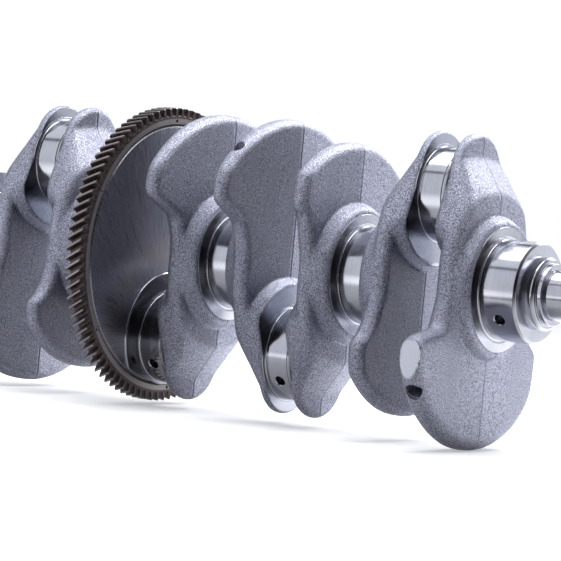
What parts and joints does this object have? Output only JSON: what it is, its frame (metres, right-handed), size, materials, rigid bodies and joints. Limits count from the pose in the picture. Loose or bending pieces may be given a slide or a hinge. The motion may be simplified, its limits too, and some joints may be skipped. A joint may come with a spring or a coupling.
{
  "type": "crankshaft",
  "caption": "Forged four-cylinder crankshaft: ground main journals and crank pins between shot-blasted counterweighted webs, with a helical drive gear pressed on one round web.",
  "frame": {"origin": "on the shaft axis at the middle of main journal 3, the middle main bearing", "axes": "+X along the shaft axis towards the nose; +Z points at crank pins 1 and 4, so all four throws lie in the XZ plane; +Y completes the right hand"},
  "size_m": [0.4536, 0.17, 0.17],
  "materials": {
    "blasted_steel": "shot-blasted forging, satin with a fine sparkle",
    "ground_steel": "ground and polished bearing surface",
    "turned_steel": "fine turned face with radial sheen",
    "oxide_steel": "dark brown-black oxide, rubbed bright on the tooth tips"
  },
  "bodies": {
    "root": {"nose_shaft": "ground_steel", "main_journal_1": "ground_steel", "main_journal_2": "ground_steel", "main_journal_3": "ground_steel", "main_journal_4": "ground_steel", "main_journal_5": "ground_steel", "crank_pin_1": "ground_steel", "crank_pin_2": "ground_steel", "crank_pin_3": "ground_steel", "crank_pin_4": "ground_steel", "web_1": "blasted_steel", "web_2": "blasted_steel", "web_3": "blasted_steel", "web_4": "blasted_steel", "web_5": "blasted_steel", "web_6_gear_disc": "turned_steel", "web_7": "blasted_steel", "web_8": "blasted_steel", "balance_drive_gear": "oxide_steel", "rear_flange": "ground_steel", "flange_dowel": "ground_steel"}
  },
  "joints": []
}
